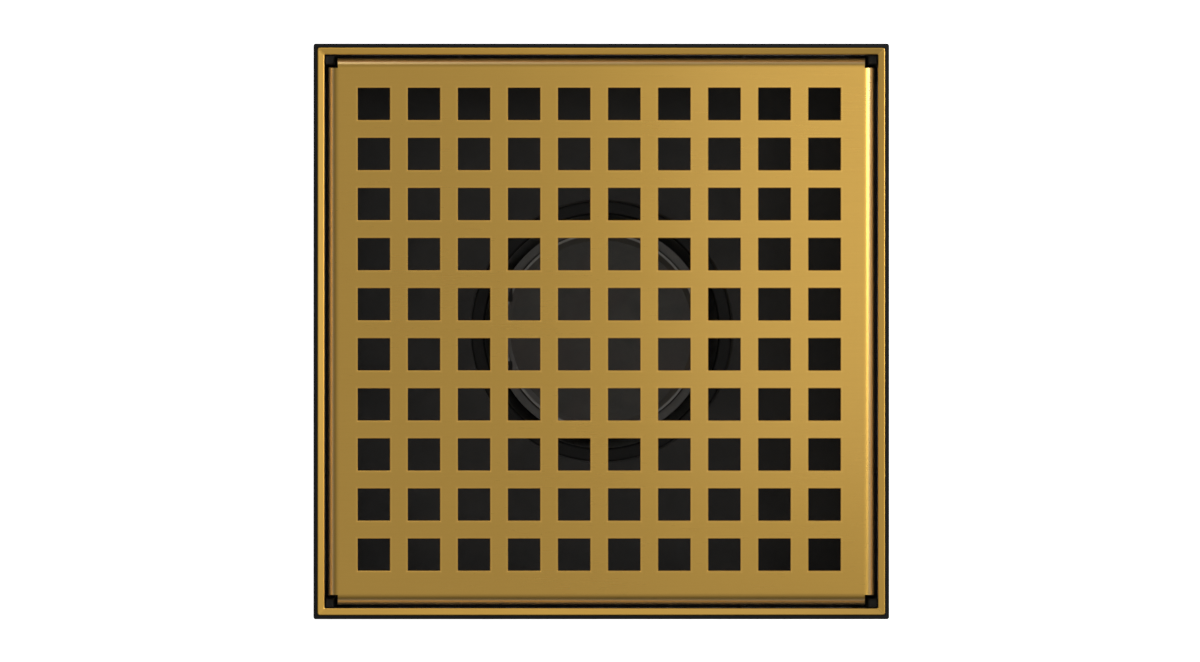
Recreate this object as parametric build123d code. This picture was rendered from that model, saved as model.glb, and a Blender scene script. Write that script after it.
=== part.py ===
from build123d import *
import math
import os

# Square floor drain: lift-off grate, trim frame, drain body with a bell trap, deck clamp and outlet.
# Millimetres. +Z is up. The origin is the centre of the outlet tail's lower end.
# Levels are written as depths below the finished floor, which is the top of the grate.

# Grate: one pressed sheet with its four edges bent down and its corners left open
grate_side = 142.5
grate_sheet = 2.0
bend_radius = 3.0
bend_inner_radius = 1.0
skirt_depth = 11.0
corner_notch = 2.6
skirt_end_flare = 0.4
hole_count = 10
hole_side = 8.4
hole_pitch = 13.05
hole_shift = 0.55
hole_edge_break = 0.2

# Rubber side studs that centre the grate in the frame
stud_offset = 37.0
stud_depth = 6.0
stud_radius = 0.75
stud_reach = 0.55
stud_flange_radius = 1.7
stud_flange = 1.0

# Trim frame: head whose rim falls a little inwards, thin web and a short inward foot
frame_side = 148.05
frame_opening = 144.3
frame_head_depth = 3.0
frame_web = 1.2
frame_foot = 0.6
frame_foot_reach = 1.55
frame_edge_round = 0.3
rim_strip = 0.35
rim_fall = 0.3
frame_corner_radius = 0.8
frame_inner_corner_radius = 0.3

# Seat ring: black ring that clamps the frame's foot and carries the grate
seat_thickness = 1.5
seat_opening = 130.0
seat_corner_radius = 1.0

# Corner pads: a rest for the skirts and a nub that fills the grate's open corner
pad_rest = 2.0
pad_reach = 7.0
pad_nub = 2.45
pad_nub_depth = 4.0
pad_nub_chamfer = 0.3
pad_gap = 0.1

# Frame gasket, screws and inserts
gasket_thickness = 1.5
screw_offset = 45.0
screw_line = 68.6
screw_radius = 1.5
screw_head_radius = 2.7
screw_length = 9.0
screw_tip_chamfer = 0.6
screw_thread_gap = 0.06
screw_hole_gap = 0.1
screw_sink_gap = 0.2
screw_slot_width = 0.7
screw_slot_length = 3.0
screw_slot_depth = 0.8
insert_radius = 2.2
insert_length = 6.0
insert_groove_width = 1.0
insert_groove_depth = 0.4
press_gap = 0.02

# Basin: the square upper body
body_side = 150.0
body_corner_radius = 0.6
lip_gap = 0.05
body_ledge = 3.0
basin_side = 130.4
basin_corner_radius = 6.0
basin_wall = 3.0
floor_depth = 31.5
floor_slope = 2.5
floor_thickness = 3.0
flange_radius = 57.0
flange_depth = 37.0
flange_thickness = 2.5
boss_radius = 4.2
boss_depth = 8.0
gussets_per_side = 5
gusset_pitch = 25.0
gusset_thickness = 2.0
gusset_depth = 9.0
gusset_inset = 0.6
floor_rib_count = 8
floor_rib_thickness = 2.5

# Throat, bowl and outlet neck
throat_radius = 34.1
throat_chamfer = 0.5
bowl_radius = 32.4
bowl_wall = 3.3
bowl_floor_depth = 71.0
bowl_floor_chamfer = 3.0
neck_radius = 37.4
neck_thread_depth = 51.0
thread_pitch = 3.0
thread_height = 1.0
thread_flank = 0.3
outlet_bore = 22.6
outlet_neck_radius = 29.0
outlet_neck_end = 88.0

# Deck clamp: gasket above the deck, washer and nut below it
deck_thickness = 18.0
deck_gasket_thickness = 3.0
washer_thickness = 1.5
nut_height = 12.0
nut_radius = 45.0
nut_lug_radius = 51.0
nut_lug_count = 8
nut_lug_width = 6.0
nut_collar_radius = 50.0
nut_collar = 3.0

# Outlet union and tail: the stop is the step that a pipe socket comes up to
outlet_gasket_thickness = 2.0
tail_radius = 25.0
tail_bore = 22.4
tail_flange_radius = 28.3
tail_flange = 3.0
tail_stop_radius = 26.0
tail_stop = 1.0
tail_length = 34.0
tail_chamfer = 1.5
union_height = 18.0
union_flats = 66.0
union_sides = 8
union_lip = 3.0

# Trap cup that hangs in the throat, with a bore that narrows below the bell rim
cup_bore = 30.6
cup_wall = 1.5
cup_step = 2.2
cup_cone_depth = 34.5
cup_cone = 5.0
cup_flange_radius = 33.8
cup_flange = 2.0
cup_drop = 0.5
cup_seal_thickness = 1.5
cup_floor_depth = 66.0
cup_floor = 2.0
cup_mouth_chamfer = 0.5
cup_inner_chamfer = 2.0
cup_outer_chamfer = 3.0
standpipe_bore = 16.5
standpipe_wall = 1.8
standpipe_end = 72.5

# Trap bell that stands over the standpipe
bell_top_depth = 30.5
bell_top = 2.2
bell_bore = 24.0
bell_wall = 1.8
bell_skirt_end = 61.0
bell_disc_radius = 23.8
bell_bead_radius = 25.2
bell_bead = 0.8
bell_rib_count = 3
bell_rib_width = 2.0
bell_rib_height = 7.0
bell_lug_height = 3.0
bell_lug_reach = 2.5
bell_lug_gap = 0.3
bell_ledge_depth = 1.5
bell_ledge = 1.8
bell_ledge_chamfer = 0.8
bell_rim_radius = 28.2

# Bails: half rings that fold down round the bell's rim
bail_inner = 26.2
bail_outer = 28.1
bail_height = 2.2
bail_pivot = 10.0
bail_pin_radius = 0.9
bail_pin_gap = 0.07
bail_pin_root = 0.2
bail_knuckle = 2.1
bail_knuckle_reach = 1.1
bail_ear = 1.5
bail_ear_wall = 1.1
bail_ear_gap = 0.15
ear_foot = 0.8
pocket_length = 3.2
pocket_width = 4.4
pocket_inset = 0.4
rim_segment_end = 8.2

fit_gap = 0.1

height = outlet_neck_end + outlet_gasket_thickness + tail_length
seat_depth = skirt_depth + pad_rest
seat_under = seat_depth + seat_thickness
body_ledge_top = seat_under + gasket_thickness
frame_outer_web = frame_opening / 2 + frame_web
bowl_joint = flange_depth - flange_thickness
deck_bottom = flange_depth + deck_gasket_thickness + deck_thickness
bail_seat = bell_top_depth + bell_ledge_depth
pivot_depth = bail_seat - bail_height / 2

# A cutter runs this far past the face it opens, and levels this close are the same
past = 1.0
same_level = 0.001


def level(depth):
    """Height above the origin of a depth below the finished floor."""
    return height - depth


def block(side, from_depth, to_depth, corner=0.0):
    """Square prism about the Z axis between two depths, with rounded upright corners."""
    outline = Rectangle(side, side) if corner == 0 else RectangleRounded(side, side, corner)
    return extrude(Pos(0, 0, level(to_depth)) * outline, amount=to_depth - from_depth)


def disc(radius, from_depth, to_depth):
    """Cylinder about the Z axis between two depths."""
    return extrude(Pos(0, 0, level(to_depth)) * Circle(radius), amount=to_depth - from_depth)


def ring(outer, inner, from_depth, to_depth):
    """Flat ring about the Z axis between two depths."""
    return disc(outer, from_depth, to_depth) - disc(inner, from_depth - past, to_depth + past)


def turned(points):
    """Solid of revolution about Z from (radius, depth) points."""
    outline = Polyline(*[(r, 0, level(d)) for r, d in points], close=True)
    return revolve(make_face(outline), axis=Axis.Z)


def on_four_sides(shape):
    """The shape and its three copies turned about Z by quarter turns."""
    return [Rot(0, 0, 90 * turn) * shape for turn in range(4)]


def floor_line(radius):
    """Depth of the sloping basin floor at a distance from the middle."""
    return floor_depth - (radius - throat_radius) * math.tan(math.radians(floor_slope))


def thread_ridges(root, crest, from_depth, to_depth):
    """Ridges of a screw thread, drawn as rings one pitch apart."""
    ridges = []
    depth = from_depth
    flank = thread_flank * thread_pitch
    for _ in range(int((to_depth - from_depth) / thread_pitch)):
        profile = [
            (root - past, depth),
            (root, depth),
            (crest, depth + flank),
            (crest, depth + 2 * flank),
            (root, depth + 3 * flank),
            (root - past, depth + 3 * flank),
        ]
        ridges.append(turned(profile))
        depth += thread_pitch
    return ridges


def screw_places():
    """Plan positions of the eight frame screws, two on each side."""
    side = [(offset, screw_line) for offset in (-screw_offset, screw_offset)]
    places = []
    for x, y in side:
        places += [(x, y), (y, -x), (-x, -y), (-y, x)]
    return places


def make_grate_plate():
    outer = block(grate_side, 0, skirt_depth)
    top_edges = outer.faces().sort_by(Axis.Z)[-1].edges()
    outer = fillet(top_edges, bend_radius)
    inner = block(grate_side - 2 * grate_sheet, grate_sheet, skirt_depth + past)
    inner = fillet(inner.faces().sort_by(Axis.Z)[-1].edges(), bend_inner_radius)
    plate = outer - inner

    # The corner cutter narrows as it goes down, so the skirts reach nearer to each other at the foot
    cut_side = 2 * corner_notch
    cut_middle = grate_side / 2 - corner_notch + cut_side / 2
    flare = math.degrees(math.atan(skirt_end_flare / skirt_depth))
    outline = Pos(cut_middle, cut_middle, level(0)) * Rectangle(cut_side, cut_side)
    corner = extrude(outline, amount=-(skirt_depth + past), taper=flare)
    plate -= on_four_sides(corner)

    flush = Pos(0, 0, level(grate_sheet + past)) * Rectangle(hole_side, hole_side)
    hole = extrude(flush, amount=grate_sheet + 2 * past)
    mouth = hole_side + 2 * hole_edge_break
    broken = Pos(0, 0, level(0)) * Rectangle(mouth, mouth)
    hole += extrude(broken, amount=-hole_edge_break, taper=45)
    grid = GridLocations(hole_pitch, hole_pitch, hole_count, hole_count)
    plate -= [Pos(-hole_shift, hole_shift, 0) * place * hole for place in grid]

    for offset in (-stud_offset, stud_offset):
        bore = Pos(grate_side / 2, offset, level(stud_depth)) * Rot(0, 90, 0)
        bore = bore * Cylinder(stud_radius + press_gap, 3 * grate_sheet)
        plate -= on_four_sides(bore)
    return plate


def make_side_studs():
    inner_face = grate_side / 2 - grate_sheet
    studs = []
    for offset in (-stud_offset, stud_offset):
        length = grate_sheet + stud_reach
        pin = Pos(inner_face + length / 2, offset, level(stud_depth)) * Rot(0, 90, 0)
        stud = pin * Cylinder(stud_radius, length)
        flange = Pos(inner_face - stud_flange / 2, offset, level(stud_depth)) * Rot(0, 90, 0)
        stud += flange * Cylinder(stud_flange_radius, stud_flange)
        studs += on_four_sides(stud)
    return Compound(studs)


def make_trim_frame():
    head = block(frame_side, 0, frame_head_depth, frame_corner_radius)
    head = fillet(head.faces().sort_by(Axis.Z)[-1].edges(), frame_edge_round)
    web = block(2 * frame_outer_web, frame_head_depth, seat_under, frame_corner_radius)
    frame = head + web
    frame -= block(frame_opening, -past, seat_under - frame_foot, frame_inner_corner_radius)
    foot_opening = frame_opening - 2 * frame_foot_reach
    frame -= block(foot_opening, seat_depth, seat_under + past, frame_inner_corner_radius)

    strip_side = frame_side - 2 * rim_strip
    low_edge = RectangleRounded(frame_opening, frame_opening, frame_inner_corner_radius)
    high_edge = RectangleRounded(strip_side, strip_side, frame_inner_corner_radius)
    frame -= loft([Pos(0, 0, level(rim_fall)) * low_edge, Pos(0, 0, level(0)) * high_edge])
    low = level(rim_fall + same_level)
    high = level(rim_fall - same_level)
    return fillet(frame.edges().filter_by_position(Axis.Z, low, high), frame_edge_round)


def make_seat_ring():
    side = frame_opening - 2 * fit_gap
    ring_body = block(side, seat_depth, seat_under - frame_foot, frame_inner_corner_radius)
    ring_body += block(side - 2 * frame_foot_reach, seat_depth, seat_under, frame_inner_corner_radius)
    ring_body -= block(seat_opening, seat_depth - past, seat_under + past, seat_corner_radius)
    sink_radius = screw_head_radius + screw_sink_gap
    hole_radius = screw_radius + screw_hole_gap
    sink = turned(
        [
            (0, seat_depth - past),
            (sink_radius, seat_depth - past),
            (sink_radius, seat_depth),
            (hole_radius, seat_depth + screw_head_radius - screw_radius),
            (hole_radius, seat_under + past),
            (0, seat_under + past),
        ]
    )
    return ring_body - [Pos(x, y, 0) * sink for x, y in screw_places()]


def make_corner_pad(turn):
    corner = frame_opening / 2 - pad_gap
    base = Pos(corner - pad_reach / 2, corner - pad_reach / 2, level(seat_depth))
    pad = extrude(base * Rectangle(pad_reach, pad_reach), amount=pad_rest)
    post = Pos(corner - pad_nub / 2, corner - pad_nub / 2, level(seat_depth))
    nub = extrude(post * Rectangle(pad_nub, pad_nub), amount=seat_depth - pad_nub_depth)
    nub = chamfer(nub.faces().sort_by(Axis.Z)[-1].edges(), pad_nub_chamfer)
    return Rot(0, 0, 90 * turn) * (pad + nub)


def make_frame_gasket():
    gasket = block(2 * frame_outer_web, seat_under, body_ledge_top, frame_corner_radius)
    gasket -= block(seat_opening, seat_under - past, body_ledge_top + past, seat_corner_radius)
    hole = disc(screw_radius + screw_hole_gap, seat_under - past, body_ledge_top + past)
    return gasket - [Pos(x, y, 0) * hole for x, y in screw_places()]


def make_frame_screws():
    cone = screw_head_radius - screw_radius
    shank = screw_radius - screw_thread_gap
    tip = seat_depth + screw_length
    screw = turned(
        [
            (0, seat_depth),
            (screw_head_radius, seat_depth),
            (shank, seat_depth + cone),
            (shank, tip - screw_tip_chamfer),
            (shank - screw_tip_chamfer, tip),
            (0, tip),
        ]
    )
    slot = Box(screw_slot_length, screw_slot_width, 2 * screw_slot_depth)
    screw -= Pos(0, 0, level(seat_depth)) * slot
    screw -= Pos(0, 0, level(seat_depth)) * Rot(0, 0, 90) * slot
    return Compound([Pos(x, y, 0) * Rot(0, 0, x + y) * screw for x, y in screw_places()])


def make_screw_inserts():
    insert = ring(insert_radius, screw_radius, body_ledge_top, body_ledge_top + insert_length)
    middle = body_ledge_top + insert_length / 2
    half_groove = insert_groove_width / 2
    groove_radius = insert_radius - insert_groove_depth
    insert -= ring(insert_radius + past, groove_radius, middle - half_groove, middle + half_groove)
    return Compound([Pos(x, y, 0) * insert for x, y in screw_places()])


def basin_prism(side, corner, extra_depth):
    """Square basin block whose underside follows the sloping floor, extra_depth below it."""
    lowest = floor_line(0) + extra_depth
    prism = block(side, body_ledge_top - past, lowest, corner)
    wedge = turned([(0, 0), (side, 0), (side, floor_line(side) + extra_depth), (0, lowest)])
    return prism & wedge


def body_gussets():
    """Small triangular ribs between the basin wall and the ledge, and ribs under the floor."""
    under = body_ledge_top + body_ledge
    wall = basin_side / 2 + basin_wall
    outer = body_side / 2 - gusset_inset
    outline = Polyline(
        (wall - past, level(under - past)),
        (outer, level(under - past)),
        (outer, level(under)),
        (wall, level(under + gusset_depth)),
        (wall - past, level(under + gusset_depth)),
        close=True,
    )
    gusset = extrude(Plane.XZ * make_face(outline), amount=gusset_thickness / 2, both=True)
    ribs = []
    for index in range(gussets_per_side):
        along = (index - (gussets_per_side - 1) / 2) * gusset_pitch
        ribs += on_four_sides(Pos(0, along, 0) * gusset)

    length = wall - flange_radius
    floor_rib = Box(length, floor_rib_thickness, bowl_joint - floor_depth)
    place = Pos(flange_radius - past + length / 2, 0, level((bowl_joint + floor_depth) / 2))
    for index in range(floor_rib_count):
        ribs.append(Rot(0, 0, 360 / floor_rib_count * index) * place * floor_rib)
    return ribs


def make_basin():
    under = body_ledge_top + body_ledge
    body = block(body_side, 0, under, body_corner_radius)
    body += basin_prism(basin_side + 2 * basin_wall, basin_corner_radius + basin_wall, floor_thickness)
    body += disc(flange_radius, floor_depth, bowl_joint)
    body += body_gussets()
    boss = disc(boss_radius, under - past, body_ledge_top + boss_depth)
    body += [Pos(x, y, 0) * boss for x, y in screw_places()]

    body -= block(frame_side + 2 * lip_gap, -past, frame_head_depth, frame_corner_radius)
    body -= block(2 * (frame_outer_web + fit_gap), -past, body_ledge_top, frame_corner_radius)
    body -= basin_prism(basin_side, basin_corner_radius, 0)
    below = floor_line(0) + floor_thickness + past
    body -= turned(
        [
            (0, floor_depth - past),
            (throat_radius + throat_chamfer, floor_depth - past),
            (throat_radius + throat_chamfer, floor_depth),
            (throat_radius, floor_depth + throat_chamfer),
            (throat_radius, below),
            (0, below),
        ]
    )
    socket = disc(insert_radius + press_gap, body_ledge_top - past, body_ledge_top + insert_length + past)
    return body - [Pos(x, y, 0) * socket for x, y in screw_places()]


def make_trap_bowl():
    """Round bowl welded under the basin, with the deck neck's thread and the outlet neck's thread."""
    seat = floor_depth + cup_drop + cup_flange + cup_seal_thickness
    bowl_end = bowl_floor_depth + bowl_wall
    root = neck_radius - thread_height
    outlet_root = outlet_neck_radius - thread_height
    bowl = turned(
        [
            (throat_radius, bowl_joint),
            (flange_radius, bowl_joint),
            (flange_radius, flange_depth),
            (neck_radius, flange_depth),
            (neck_radius, neck_thread_depth),
            (root, neck_thread_depth),
            (root, bowl_end),
            (outlet_root, bowl_end),
            (outlet_root, outlet_neck_end),
            (outlet_bore, outlet_neck_end),
            (outlet_bore, bowl_floor_depth),
            (bowl_radius - bowl_floor_chamfer, bowl_floor_depth),
            (bowl_radius, bowl_floor_depth - bowl_floor_chamfer),
            (bowl_radius, seat),
            (throat_radius, seat),
        ]
    )
    bowl += thread_ridges(root, neck_radius, neck_thread_depth, bowl_end)
    return bowl + thread_ridges(outlet_root, outlet_neck_radius, bowl_end + past, outlet_neck_end)


def make_deck_gasket():
    return ring(flange_radius, neck_radius + fit_gap, flange_depth, flange_depth + deck_gasket_thickness)


def make_friction_washer():
    return ring(nut_lug_radius, neck_radius + 2 * fit_gap, deck_bottom, deck_bottom + washer_thickness)


def make_lock_nut():
    top = deck_bottom + washer_thickness
    nut = disc(nut_radius, top, top + nut_height)
    nut += disc(nut_collar_radius, top, top + nut_collar)
    lug = Box(nut_lug_radius, nut_lug_width, nut_height)
    lug = Pos(nut_lug_radius / 2, 0, level(top + nut_height / 2)) * lug
    nut += [Rot(0, 0, 360 / nut_lug_count * index) * lug for index in range(nut_lug_count)]
    return nut - disc(neck_radius + fit_gap, top - past, top + nut_height + past)


def make_outlet_gasket():
    top = outlet_neck_end
    return ring(tail_flange_radius, outlet_bore, top, top + outlet_gasket_thickness)


def make_outlet_tail():
    top = outlet_neck_end + outlet_gasket_thickness
    tail = disc(tail_radius, top, top + tail_length)
    tail = chamfer(tail.faces().sort_by(Axis.Z)[0].edges(), tail_chamfer)
    tail += disc(tail_stop_radius, top, top + tail_flange + union_lip + tail_stop)
    tail += disc(tail_flange_radius, top, top + tail_flange)
    return tail - disc(tail_bore, top - past, top + tail_length + past)


def make_union_nut():
    bottom = outlet_neck_end + outlet_gasket_thickness + tail_flange + union_lip
    top = bottom - union_height
    outline = RegularPolygon(union_flats / 2, union_sides, major_radius=False)
    nut = extrude(Pos(0, 0, level(bottom)) * outline, amount=union_height)
    nut -= disc(outlet_neck_radius + fit_gap, top - past, bottom - union_lip)
    return nut - disc(tail_stop_radius + 2 * fit_gap, top - past, bottom + past)


def make_trap_cup():
    top = floor_depth + cup_drop
    outer = cup_bore + cup_wall
    low_bore = cup_bore - cup_step
    low_outer = outer - cup_step
    cone_end = cup_cone_depth + cup_cone
    under = cup_floor_depth + cup_floor
    pipe = standpipe_bore + standpipe_wall
    pipe_top = bell_top_depth + bell_top + bell_rib_height
    return turned(
        [
            (cup_bore + cup_mouth_chamfer, top),
            (cup_flange_radius, top),
            (cup_flange_radius, top + cup_flange),
            (outer, top + cup_flange),
            (outer, cup_cone_depth),
            (low_outer, cone_end),
            (low_outer, under - cup_outer_chamfer),
            (low_outer - cup_outer_chamfer, under),
            (pipe, under),
            (pipe, standpipe_end),
            (standpipe_bore, standpipe_end),
            (standpipe_bore, pipe_top),
            (pipe, pipe_top),
            (pipe, cup_floor_depth),
            (low_bore - cup_inner_chamfer, cup_floor_depth),
            (low_bore, cup_floor_depth - cup_inner_chamfer),
            (low_bore, cone_end),
            (cup_bore, cup_cone_depth),
            (cup_bore, top + cup_mouth_chamfer),
        ]
    )


def make_cup_seal():
    top = floor_depth + cup_drop + cup_flange
    return ring(cup_flange_radius, cup_bore + cup_wall + fit_gap, top, top + cup_seal_thickness)


def pivot_reach():
    """Distance of a bail's end from the YZ plane, on the middle of its band."""
    middle = (bail_inner + bail_outer) / 2
    return math.sqrt(middle**2 - bail_pivot**2)


def bell_shell():
    """Capped tube with a raised bead round its top and a ledge that carries the folded bails."""
    outer = bell_bore + bell_wall
    under = bail_seat + bell_ledge
    return turned(
        [
            (0, bell_top_depth),
            (bell_disc_radius, bell_top_depth),
            (bell_bead_radius, bell_top_depth - bell_bead),
            (outer, bell_top_depth - bell_bead),
            (outer, bail_seat),
            (bell_rim_radius, bail_seat),
            (bell_rim_radius, under - bell_ledge_chamfer),
            (bell_rim_radius - bell_ledge_chamfer, under),
            (outer, under),
            (outer, bell_skirt_end),
            (bell_bore, bell_skirt_end),
            (bell_bore, bell_top_depth + bell_top),
            (0, bell_top_depth + bell_top),
        ]
    )


def rim_segments():
    """Two short rim pieces that close the circle between the bails' ends."""
    band = ring(bail_outer, bell_bore + bell_wall - past, bail_seat - bail_height, bail_seat + past)
    segment = Pos(bail_outer, 0, level(bail_seat)) * Box(bail_outer, 2 * rim_segment_end, bail_outer)
    return [band & segment, band & (Rot(0, 0, 180) * segment)]


def bell_ribs():
    """Ribs under the bell's top that rest on the standpipe, each with a lug inside its bore."""
    ceiling = bell_top_depth + bell_top
    lug_outer = standpipe_bore - bell_lug_gap
    foot = ceiling + bell_rib_height
    outline = Polyline(
        (lug_outer - bell_lug_reach, level(ceiling - past)),
        (bell_bore + past / 2, level(ceiling - past)),
        (bell_bore + past / 2, level(foot)),
        (lug_outer, level(foot)),
        (lug_outer, level(foot + bell_lug_height)),
        (lug_outer - bell_lug_reach, level(foot + bell_lug_height)),
        close=True,
    )
    rib = extrude(Plane.XZ * make_face(outline), amount=bell_rib_width / 2, both=True)
    return [Rot(0, 0, 360 / bell_rib_count * index) * rib for index in range(bell_rib_count)]


def make_trap_bell():
    bell = bell_shell() + rim_segments() + bell_ribs()
    ear_radius = bail_pin_radius + bail_ear_wall
    ear_reach = pivot_reach() + bail_knuckle_reach + bail_ear_gap + bail_ear / 2
    pocket = Box(pocket_length, pocket_width, bail_outer)
    pocket_middle = pivot_reach() - pocket_inset
    post = Box(bail_ear + ear_foot, 2 * ear_radius, bell_ledge)
    for side_x in (-1, 1):
        for side_y in (-1, 1):
            y = side_y * bail_pivot
            floor = level(bail_seat) - fit_gap
            bell -= Pos(side_x * pocket_middle, y, floor + bail_outer / 2) * pocket
            ear = Pos(side_x * ear_reach, y, level(pivot_depth))
            bell += ear * Rot(0, 90, 0) * Cylinder(ear_radius, bail_ear)
            bell += ear * Pos(0, 0, -ear_radius / 2) * Box(bail_ear, 2 * ear_radius, ear_radius)
            foot_reach = ear_reach - ear_foot / 2
            bell += Pos(side_x * foot_reach, y, level(bail_seat + bell_ledge / 2)) * post
            bell -= ear * Rot(0, 90, 0) * Cylinder(bail_pin_radius + bail_pin_gap, 3 * bail_ear)
    return bell


def make_bail(side):
    """Half ring with a round knuckle and a stub pin at each end. side is -1 in front, 1 behind."""
    band = ring(bail_outer, bail_inner, bail_seat - bail_height, bail_seat)
    half = Box(3 * bail_outer, 2 * bail_outer, 2 * bail_outer)
    bail = band & (Pos(0, side * (bail_pivot + bail_outer), level(bail_seat)) * half)
    knuckle = Rot(0, 90, 0) * Cylinder(bail_height / 2, bail_knuckle)
    knuckle_middle = pivot_reach() + bail_knuckle_reach - bail_knuckle / 2
    pin_length = bail_pin_root + bail_ear_gap + bail_ear
    pin = Rot(0, 90, 0) * Cylinder(bail_pin_radius, pin_length)
    pin_middle = pivot_reach() + bail_knuckle_reach - bail_pin_root + pin_length / 2
    for side_x in (-1, 1):
        bail += Pos(side_x * knuckle_middle, side * bail_pivot, level(pivot_depth)) * knuckle
        bail += Pos(side_x * pin_middle, side * bail_pivot, level(pivot_depth)) * pin
    return bail


parts = {
    "grate_plate": make_grate_plate(),
    "grate_side_studs": make_side_studs(),
    "trim_frame": make_trim_frame(),
    "seat_ring": make_seat_ring(),
    "corner_pad_back_right": make_corner_pad(0),
    "corner_pad_back_left": make_corner_pad(1),
    "corner_pad_front_left": make_corner_pad(2),
    "corner_pad_front_right": make_corner_pad(3),
    "frame_gasket": make_frame_gasket(),
    "frame_screws": make_frame_screws(),
    "screw_inserts": make_screw_inserts(),
    "basin": make_basin(),
    "trap_bowl": make_trap_bowl(),
    "deck_gasket": make_deck_gasket(),
    "friction_washer": make_friction_washer(),
    "lock_nut": make_lock_nut(),
    "outlet_gasket": make_outlet_gasket(),
    "outlet_tail": make_outlet_tail(),
    "union_nut": make_union_nut(),
    "trap_cup": make_trap_cup(),
    "cup_seal": make_cup_seal(),
    "trap_bell": make_trap_bell(),
    "bail_front": make_bail(-1),
    "bail_back": make_bail(1),
}

os.makedirs("parts", exist_ok=True)
for name, shape in parts.items():
    export_step(shape, f"parts/{name}.step")
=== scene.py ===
import bpy
import math
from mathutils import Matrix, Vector


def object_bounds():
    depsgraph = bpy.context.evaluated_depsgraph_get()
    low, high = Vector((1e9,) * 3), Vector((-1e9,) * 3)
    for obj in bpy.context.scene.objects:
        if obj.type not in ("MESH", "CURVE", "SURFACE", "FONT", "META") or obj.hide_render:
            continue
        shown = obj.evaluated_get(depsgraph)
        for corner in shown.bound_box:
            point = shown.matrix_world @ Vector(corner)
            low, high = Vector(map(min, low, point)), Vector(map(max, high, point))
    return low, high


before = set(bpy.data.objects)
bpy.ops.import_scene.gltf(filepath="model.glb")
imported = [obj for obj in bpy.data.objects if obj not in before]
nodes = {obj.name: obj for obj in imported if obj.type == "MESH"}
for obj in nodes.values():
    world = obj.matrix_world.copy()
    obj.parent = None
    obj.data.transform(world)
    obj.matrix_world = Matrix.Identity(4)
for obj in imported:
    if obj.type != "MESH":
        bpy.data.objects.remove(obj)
cad_low, cad_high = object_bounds()
scene = bpy.context.scene

# Lengths are in metres, written as millimetres times MM. Depths are taken below the grate's top.
MM = 0.001
top_z = cad_high.z
half = (cad_high.x - cad_low.x) / 2

# The grate's sheet and its square grid of holes, which lies a little off centre, and the width of the painted
# highlight round each hole
SHEET = 2.0 * MM
HOLE_SIDE = 8.4 * MM
HOLE_PITCH = 13.05 * MM
HOLE_SHIFT = 0.55 * MM
HOLE_COUNT = 10
HOLE_HIGHLIGHT_WIDTH = 0.75 * MM

# The bell's raised bead: its middle radius, and where its painted highlight fades on each side of it
BEAD_RADIUS = 25.5 * MM
BEAD_INSIDE = (0.45 * MM, 0.10 * MM)
BEAD_OUTSIDE = (0.35 * MM, 0.55 * MM)

# Depths at which a finish and the painted light and shade start to change and at which they have changed
HOLE_WALL = (SHEET / 2, SHEET)
GRATE_BEND = (0.2 * MM, 0.7 * MM)
FRAME_WALL = (0.65 * MM, 1.5 * MM)
BASIN_LIP = (5.0 * MM, 12.0 * MM)
CUP_WALL = (34.0 * MM, 34.4 * MM)
BEAD_TOP = (29.8 * MM, 30.0 * MM)


# ---------------------------------------------------------------- node helpers

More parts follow.
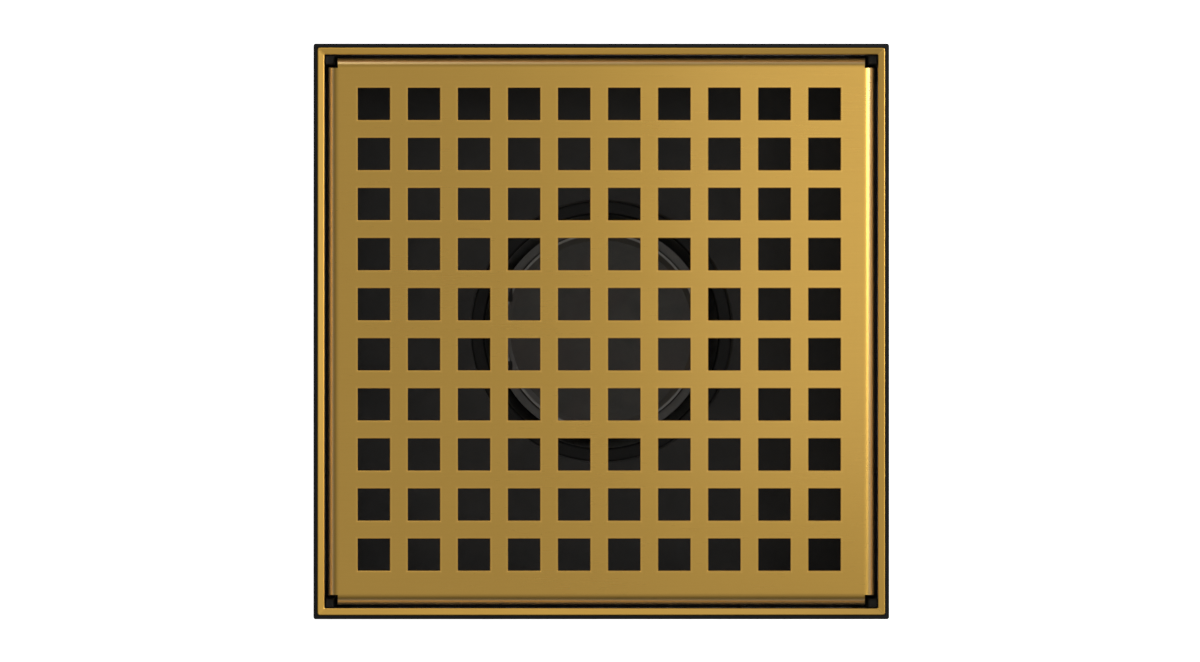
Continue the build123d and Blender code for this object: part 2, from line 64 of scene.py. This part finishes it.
class Graph:
    """The node tree of a material or a world, with short calls for the nodes used below."""

    def __init__(self, owner, coordinates="Object"):
        owner.use_nodes = True
        self.owner = owner
        self.tree = owner.node_tree
        self.shader = self.tree.nodes.get("Principled BSDF")
        self.place = self.tree.nodes.new("ShaderNodeTexCoord").outputs[coordinates]

    def put(self, socket, value):
        """A number or colour on a socket, or a link into it."""
        if isinstance(value, bpy.types.NodeSocket):
            self.tree.links.new(value, socket)
        else:
            socket.default_value = value

    def set(self, **values):
        """Values on the shader, written with underscores for spaces."""
        for name, value in values.items():
            self.put(self.shader.inputs[name.replace("_", " ")], value)

    def math(self, operation, a, b=0.0):
        node = self.tree.nodes.new("ShaderNodeMath")
        node.operation = operation
        self.put(node.inputs[0], a)
        self.put(node.inputs[1], b)
        return node.outputs[0]

    def stretch(self, scale):
        """The place, scaled by a different number along each axis."""
        node = self.tree.nodes.new("ShaderNodeMapping")
        self.put(node.inputs["Vector"], self.place)
        node.inputs["Scale"].default_value = scale
        return node.outputs[0]

    def noise(self, scale, detail=4.0, rough=0.55, at=None, distortion=0.0):
        node = self.tree.nodes.new("ShaderNodeTexNoise")
        self.put(node.inputs["Vector"], at or self.place)
        node.inputs["Scale"].default_value = scale
        node.inputs["Detail"].default_value = detail
        node.inputs["Roughness"].default_value = rough
        node.inputs["Distortion"].default_value = distortion
        return node.outputs["Fac"]

    def spread(self, value, low, high, to_low=0.0, to_high=1.0, smooth=False):
        """Maps low..high to to_low..to_high, clamped."""
        node = self.tree.nodes.new("ShaderNodeMapRange")
        if smooth:
            node.interpolation_type = "SMOOTHSTEP"
        for socket, number in zip(node.inputs, (value, low, high, to_low, to_high)):
            self.put(socket, number)
        return node.outputs[0]

    def blend(self, share, first, second):
        """A colour between two, by a share of the second."""
        node = self.tree.nodes.new("ShaderNodeMix")
        node.data_type = "RGBA"
        self.put(node.inputs[0], share)
        self.put(node.inputs[6], first)
        self.put(node.inputs[7], second)
        return node.outputs[2]

    def axes(self):
        node = self.tree.nodes.new("ShaderNodeSeparateXYZ")
        self.put(node.inputs[0], self.place)
        return node.outputs

    def length(self, x, y):
        return self.math("SQRT", self.math("ADD", self.math("MULTIPLY", x, x), self.math("MULTIPLY", y, y)))

    def by_depth(self, band, shallow, deep):
        """One value above a band of depths, turning to another below it."""
        return self.spread(self.axes()[2], top_z - band[1], top_z - band[0], deep, shallow)

    def by_side(self, front_back, left_right):
        """One value on the front and back sides of the square, another on the left and right sides."""
        x, y, _ = self.axes()
        sideways = self.math("GREATER_THAN", self.math("ABSOLUTE", x), self.math("ABSOLUTE", y))
        node = self.tree.nodes.new("ShaderNodeMix")
        self.put(node.inputs[0], sideways)
        self.put(node.inputs[2], front_back)
        self.put(node.inputs[3], left_right)
        return node.outputs[0]

    def bump(self, height, distance, strength):
        node = self.tree.nodes.new("ShaderNodeBump")
        node.inputs["Strength"].default_value = strength
        node.inputs["Distance"].default_value = distance
        self.put(node.inputs["Height"], height)
        return node.outputs[0]

    def mix_shaders(self, share, first, second, output):
        """Joins two shaders into the tree's output, by a share of the second."""
        mix = self.tree.nodes.new("ShaderNodeMixShader")
        self.tree.links.new(share, mix.inputs[0])
        self.tree.links.new(first.outputs[0], mix.inputs[1])
        self.tree.links.new(second.outputs[0], mix.inputs[2])
        self.tree.links.new(mix.outputs[0], self.tree.nodes[output].inputs["Surface"])


def new_material(name):
    return Graph(bpy.data.materials.new(name))


# ---------------------------------------------------------------- gold

def hole_edge_highlight(g):
    """Painted highlight: 1 at the edge of a grate hole, falling to 0 across its rim, on the sheet's top only.
    """
    x, y, _ = g.axes()
    reach = []
    for coordinate, shift in ((x, HOLE_SHIFT), (y, -HOLE_SHIFT)):
        moved = g.math("ADD", coordinate, shift)
        outside = g.math("GREATER_THAN", g.math("ABSOLUTE", moved), HOLE_COUNT / 2 * HOLE_PITCH)
        cell = g.math("PINGPONG", moved, HOLE_PITCH / 2)
        # Outside the grid a whole metre is added, so nothing there is near a hole
        reach.append(g.math("ADD", g.math("SUBTRACT", HOLE_PITCH / 2, cell), outside))
    distance = g.math("SUBTRACT", g.math("MAXIMUM", reach[0], reach[1]), HOLE_SIDE / 2)
    rim = g.spread(distance, 0.0, HOLE_HIGHLIGHT_WIDTH, 1.0, 0.0, smooth=True)
    return g.math("MULTIPLY", rim, g.by_depth(HOLE_WALL, 1.0, 0.0))


def brush_lines(g, scale):
    return g.noise(1.0, 3.0, 0.6, at=g.stretch(scale))


def coat(g, tone, rough, grain):
    """The clear coated metal that the grate and the frame share."""
    g.set(Base_Color=tone, Metallic=1.0, Roughness=rough)
    g.set(Coat_Weight=0.5, Coat_Roughness=0.13)
    g.set(Normal=g.bump(grain, 0.004 * MM, 0.4))
    return g.owner


def gold_plate():
    """Satin gold coating on the grate, with a painted highlight round the holes' edges and a paler, whiter
    tone over the bends that paints their highlight.
    """
    g = new_material("gold_grate")
    grain = brush_lines(g, (70, 3600, 3600))
    cloud = g.noise(22.0, 4.0, 0.6)
    tone = g.blend(cloud, (0.780, 0.462, 0.086, 1), (0.820, 0.494, 0.096, 1))
    tone = g.blend(g.spread(grain, 0.35, 0.75, 0.0, 0.12), tone, (0.66, 0.37, 0.07, 1))
    # Painted highlight: a brighter gold round the edges of the holes
    tone = g.blend(g.math("MULTIPLY", hole_edge_highlight(g), 0.75), tone, (1.0, 0.62, 0.135, 1))
    # Painted highlight: the bends and the skirts below them turn a paler, whiter gold
    tone = g.blend(g.by_depth(GRATE_BEND, 0.0, 1.0), tone, (0.84, 0.63, 0.33, 1))
    rough = g.math("ADD", g.spread(grain, 0.25, 0.75, 0.27, 0.31), g.spread(cloud, 0.3, 0.7, -0.01, 0.015))
    return coat(g, tone, rough, grain)


def gold_frame():
    """The same coating on the frame, brushed along each side. Its tone varies round the square as painted
    light, its polish varies too, and the walls below the rim are bare steel."""
    g = new_material("gold_frame")
    grain = g.by_side(brush_lines(g, (70, 3600, 3600)), brush_lines(g, (3600, 70, 3600)))
    cloud = g.noise(24.0, 4.0, 0.6)
    x, y, _ = g.axes()
    # Painted light: paler towards negative x on the front and back sides and towards negative y on the left
    # and right sides, deeper gold elsewhere
    pale = g.by_side(g.spread(x, -0.2 * half, half, 1.0, 0.0), g.spread(y, -0.1 * half, half, 1.0, 0.55))
    tone = g.blend(pale, (0.52, 0.305, 0.056, 1), (1.0, 0.585, 0.108, 1))
    tone = g.blend(g.spread(cloud, 0.3, 0.7, 0.0, 0.06), tone, (1.0, 0.60, 0.12, 1))
    tone = g.blend(g.spread(grain, 0.35, 0.75, 0.0, 0.12), tone, (0.70, 0.39, 0.07, 1))
    bare = g.by_depth(FRAME_WALL, 0.0, 1.0)
    tone = g.blend(bare, tone, (0.76, 0.74, 0.70, 1))
    polish = g.by_side(g.spread(x, -half, half, 0.42, 0.29), 0.34)
    rough = g.math("ADD", polish, g.spread(grain, 0.25, 0.75, -0.02, 0.02))
    rough = g.math("ADD", rough, g.spread(bare, 0.0, 1.0, 0.0, 0.12))
    return coat(g, tone, rough, grain)


# ---------------------------------------------------------------- plastic, rubber, fibre and bare metal

def plastic(name, dark, light, rough, shine=0.5, mottle_scale=60.0, stain=None, over=None):
    """Moulded plastic: a fine spark texture, and a soft mottle in colour and gloss.
    over(graph, tone) may change the colour last."""
    g = new_material(name)
    spark = g.noise(2400.0, 2.0, 0.5)
    mottle = g.noise(mottle_scale, 5.0, 0.62, distortion=0.4)
    tone = g.blend(g.spread(mottle, 0.35, 0.65), dark, light)
    if stain is not None:
        tone = g.blend(g.spread(g.noise(mottle_scale * 0.4, 3.0), 0.45, 0.7, 0.0, 0.7), tone, stain)
    if over is not None:
        tone = over(g, tone)
    g.set(Base_Color=tone, Roughness=g.spread(mottle, 0.3, 0.7, rough[0], rough[1]))
    g.set(Specular_IOR_Level=shine)
    g.set(Normal=g.bump(spark, 0.03 * MM, 0.35))
    return g.owner


def lip_painted_shade(g, tone):
    """Painted shade: blacker towards the basin's lip, drawing a dark outline round the frame."""
    return g.blend(g.by_depth(BASIN_LIP, 1.0, 0.0), tone, (0.006, 0.006, 0.006, 1))


def cup_wall_painted_light(g, tone):
    """Painted light: the cup's walls below its flange turn a lighter grey, in uneven patches, lifting the
    shade in the gap round the bell.
    """
    patches = g.spread(g.noise(140.0, 5.0, 0.6), 0.3, 0.7, 0.75, 1.0)
    share = g.math("MULTIPLY", g.by_depth(CUP_WALL, 0.0, 1.0), patches)
    return g.blend(share, tone, (0.20, 0.20, 0.19, 1))


def bead_painted_highlight(g, tone):
    """Painted highlight: paler along the top of the bell's raised bead."""
    x, y, _ = g.axes()
    radius = g.length(x, y)
    inside = g.spread(radius, BEAD_RADIUS - BEAD_INSIDE[0], BEAD_RADIUS - BEAD_INSIDE[1])
    outside = g.spread(radius, BEAD_RADIUS + BEAD_OUTSIDE[0], BEAD_RADIUS + BEAD_OUTSIDE[1], 1.0, 0.0)
    share = g.math("MULTIPLY", g.math("MULTIPLY", inside, outside), g.by_depth(BEAD_TOP, 1.0, 0.0))
    return g.blend(share, tone, (0.36, 0.36, 0.35, 1))


def rubber():
    """Matt black rubber with a grey bloom."""
    g = new_material("black_rubber")
    bloom = g.noise(90.0, 5.0, 0.6)
    tone = g.blend(g.spread(bloom, 0.45, 0.75), (0.014, 0.014, 0.014, 1), (0.035, 0.035, 0.034, 1))
    g.set(Base_Color=tone, Roughness=g.spread(bloom, 0.3, 0.7, 0.62, 0.78))
    g.set(Normal=g.bump(g.noise(1800.0, 3.0, 0.6), 0.04 * MM, 0.4))
    return g.owner


def fibre():
    """Red vulcanised fibre with its strands."""
    g = new_material("fibre")
    strands = g.noise(1.0, 5.0, 0.7, at=g.stretch((300, 1500, 900)))
    tone = g.blend(strands, (0.26, 0.045, 0.025, 1), (0.40, 0.085, 0.045, 1))
    g.set(Base_Color=tone, Roughness=g.spread(strands, 0.3, 0.7, 0.62, 0.76))
    g.set(Normal=g.bump(strands, 0.05 * MM, 0.5))
    return g.owner


def turned_metal(name, dark, light):
    """Machined metal with fine marks."""
    g = new_material(name)
    marks = brush_lines(g, (900, 900, 6000))
    tone = g.blend(g.spread(marks, 0.3, 0.7), dark, light)
    g.set(Base_Color=tone, Metallic=1.0, Roughness=g.spread(marks, 0.3, 0.7, 0.26, 0.38))
    g.set(Normal=g.bump(marks, 0.01 * MM, 0.4))
    return g.owner


# ---------------------------------------------------------------- every node gets its material

def dress_nodes():
    """Rubber is the finish of every node that isn't named here."""
    black = plastic("black_abs", (0.014, 0.014, 0.014, 1), (0.022, 0.022, 0.021, 1), (0.44, 0.54), shine=0.4)
    basin = plastic("black_abs_basin", (0.050, 0.050, 0.050, 1), (0.068, 0.068, 0.067, 1), (0.46, 0.56),
                    shine=0.22, over=lip_painted_shade)
    cup = plastic("black_abs_cup", (0.009, 0.009, 0.009, 1), (0.014, 0.014, 0.014, 1), (0.44, 0.54),
                  shine=0.35, over=cup_wall_painted_light)
    bell = plastic("dark_grey_plastic", (0.066, 0.066, 0.062, 1), (0.090, 0.088, 0.083, 1), (0.42, 0.54),
                   mottle_scale=160.0, stain=(0.088, 0.072, 0.068, 1), over=bead_painted_highlight)
    bail = plastic("bail_grey", (0.120, 0.120, 0.116, 1), (0.155, 0.153, 0.147, 1), (0.36, 0.48),
                   mottle_scale=160.0)
    pale = plastic("grey_pp", (0.17, 0.175, 0.18, 1), (0.22, 0.225, 0.23, 1), (0.36, 0.48), mottle_scale=30.0)
    finish = {
        "grate_plate": gold_plate(),
        "trim_frame": gold_frame(),
        "seat_ring": black,
        "frame_screws": turned_metal("stainless", (0.52, 0.52, 0.53, 1), (0.62, 0.62, 0.63, 1)),
        "screw_inserts": turned_metal("brass", (0.66, 0.45, 0.16, 1), (0.76, 0.54, 0.21, 1)),
        "basin": basin,
        "trap_bowl": black,
        "friction_washer": fibre(),
        "lock_nut": pale,
        "union_nut": pale,
        "outlet_tail": pale,
        "trap_cup": cup,
        "trap_bell": bell,
        "bail_front": bail,
        "bail_back": bail,
    }
    dark_rubber = rubber()
    for name, node in nodes.items():
        node.data.materials.clear()
        node.data.materials.append(finish.get(name, dark_rubber))


# ---------------------------------------------------------------- stage

def add_to_scene(name, data):
    thing = bpy.data.objects.new(name, data)
    scene.collection.objects.link(thing)
    return thing


def area_light(name, above, aim, size, radiance):
    """Soft box of a given brightness, which the camera doesn't see. Its place and its aim are taken
    from the middle of the grate's top."""
    data = bpy.data.lights.new(name, "AREA")
    data.shape = "RECTANGLE"
    data.size, data.size_y = size
    data.energy = radiance * math.pi * size[0] * size[1]
    light = add_to_scene(name, data)
    light.location = Vector(above) + Vector((0, 0, top_z))
    light.rotation_mode = "QUATERNION"
    light.rotation_quaternion = (Vector(aim) - Vector(above)).to_track_quat("-Z", "Y")
    light.visible_camera = False


def make_floor():
    """Pale floor, seen from above only, with a faint patch of painted shade to the drain's right."""
    size = 8.0
    level = -0.2 * MM
    mesh = bpy.data.meshes.new("floor")
    corners = [(x * size, y * size, level) for x, y in ((-1, -1), (1, -1), (1, 1), (-1, 1))]
    mesh.from_pydata(corners, [], [(0, 1, 2, 3)])
    g = new_material("floor")
    x, y, _ = g.axes()
    # Painted shade: the floor's glow dims in a soft patch to the drain's right
    shade_patch_x = g.math("DIVIDE", g.math("SUBTRACT", x, 1.5 * half), 0.55 * half)
    shade_patch_y = g.math("DIVIDE", g.math("SUBTRACT", y, 0.25 * half), 0.80 * half)
    glow = g.spread(g.length(shade_patch_x, shade_patch_y), 0.0, 1.6, 0.62, 0.86, smooth=True)
    g.set(Base_Color=(0.80, 0.80, 0.80, 1), Roughness=0.9)
    g.set(Emission_Color=(1, 1, 1, 1), Emission_Strength=glow)
    clear = g.tree.nodes.new("ShaderNodeBsdfTransparent")
    facing = g.tree.nodes.new("ShaderNodeNewGeometry").outputs["Backfacing"]
    g.mix_shaders(facing, g.shader, clear, "Material Output")
    mesh.materials.append(g.owner)
    add_to_scene("floor", mesh)


def make_world():
    """Bright overhead and along the horizon, most so at its four corners, and dimmer in front.
    The camera sees an even pale grey."""
    scene.world = bpy.data.worlds.new("studio")
    g = Graph(scene.world, "Generated")
    x, y, z = g.axes()
    overhead = g.spread(z, 0.70, 0.99, 0.0, 0.26, smooth=True)
    horizon = g.spread(z, 0.12, 0.50, 0.30, 0.0, smooth=True)
    diagonal = g.spread(g.math("ABSOLUTE", g.math("MULTIPLY", x, y)), 0.10, 0.40, 0.0, 0.50, smooth=True)
    corner = g.math("MULTIPLY", diagonal, g.spread(z, 0.25, 0.60, 1.0, 0.0, smooth=True))
    strength = g.math("ADD", g.math("MULTIPLY", y, 0.08), 0.16)
    for glow in (overhead, horizon, corner):
        strength = g.math("ADD", strength, glow)
    light = g.tree.nodes["Background"]
    g.put(light.inputs["Color"], (1, 1, 1, 1))
    g.put(light.inputs["Strength"], strength)
    seen = g.tree.nodes.new("ShaderNodeBackground")
    g.put(seen.inputs["Color"], (0.93, 0.93, 0.94, 1))
    from_camera = g.tree.nodes.new("ShaderNodeLightPath").outputs["Is Camera Ray"]
    g.mix_shaders(from_camera, light, seen, "World Output")


def make_camera():
    """Looks straight down from far away. The drain fills a little under half of the frame's width."""
    distance = 7.5
    share = 0.479667
    data = bpy.data.cameras.new("camera")
    data.sensor_width = 36.0
    data.lens = share * data.sensor_width * distance / (2 * half)
    data.shift_x = -0.001083
    data.shift_y = 0.000333
    data.clip_end = 4 * distance
    camera = add_to_scene("camera", data)
    camera.location = (0, 0, top_z + distance)
    scene.camera = camera


dress_nodes()
scene.view_settings.view_transform = "Standard"
make_floor()
make_world()
make_camera()
area_light("key", (0.47, 0.20, 0.36), (0, 0, 0), (0.34, 0.34), 5.0)
area_light("top_left", (-0.22, 0.50, 0.16), (0, 0, 0), (0.24, 0.18), 3.0)
area_light("overhead_right", (0.23, 0.16, 0.30), (0.23, 0.16, 0), (0.42, 0.40), 0.42)
